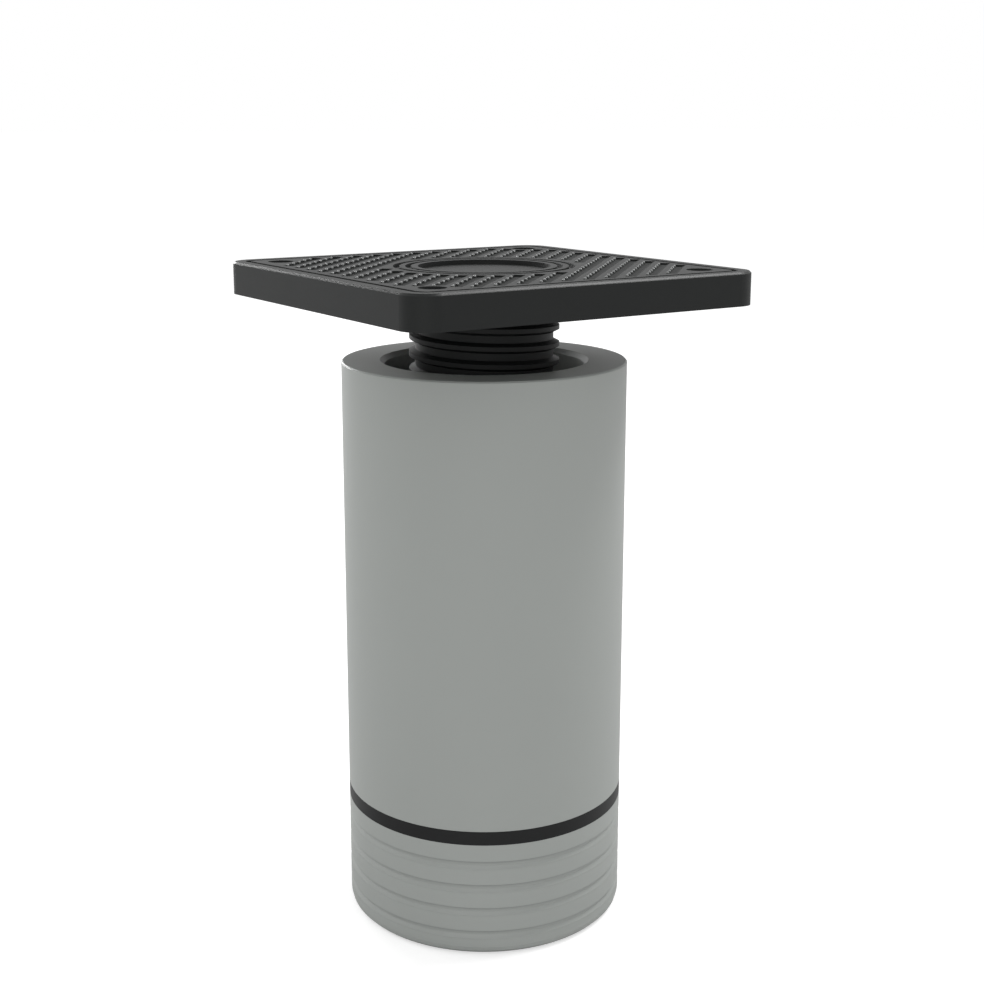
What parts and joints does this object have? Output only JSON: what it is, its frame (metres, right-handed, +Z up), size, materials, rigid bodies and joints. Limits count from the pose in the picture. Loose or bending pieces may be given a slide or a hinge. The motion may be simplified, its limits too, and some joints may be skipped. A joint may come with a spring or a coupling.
{
  "type": "adjustable cabinet leg",
  "caption": "Round plastic furniture leg that turns on its foot to raise or lower a square screw-on mounting plate by a coarse screw thread.",
  "frame": {"origin": "centre of the foot's sole, on the floor", "axes": "+Z up along the leg's axis towards the mounting plate, X and Y along the plate's sides"},
  "size_m": [0.0674, 0.0674, 0.117],
  "materials": {
    "black_plastic": "satin moulded black plastic",
    "black_insert": "satin moulded black plastic",
    "grey_plastic": "satin moulded grey plastic",
    "black_ring": "satin moulded black plastic",
    "grey_foot": "satin moulded grey plastic"
  },
  "bodies": {
    "foot": {"foot": "grey_foot", "pivot_ring": "black_ring"},
    "tube": {"leg_tube": "grey_plastic", "threaded_insert": "black_insert"},
    "plate": {"mounting_plate": "black_plastic"}
  },
  "joints": [
    {"name": "tube_turn", "type": "hinge", "parent": "foot", "child": "tube", "pos_m": [0, 0, 0.0231], "axis": [0, 0, 1], "range_deg": [-1201, 1201]},
    {"name": "plate_lift", "type": "slide", "parent": "foot", "child": "plate", "axis": [0, 0, 1], "range_m": [-0.01, 0.01]}
  ],
  "couplings": [
    {"joint": "tube_turn", "follows": "plate_lift", "rad_per_m": 2094.4}
  ]
}
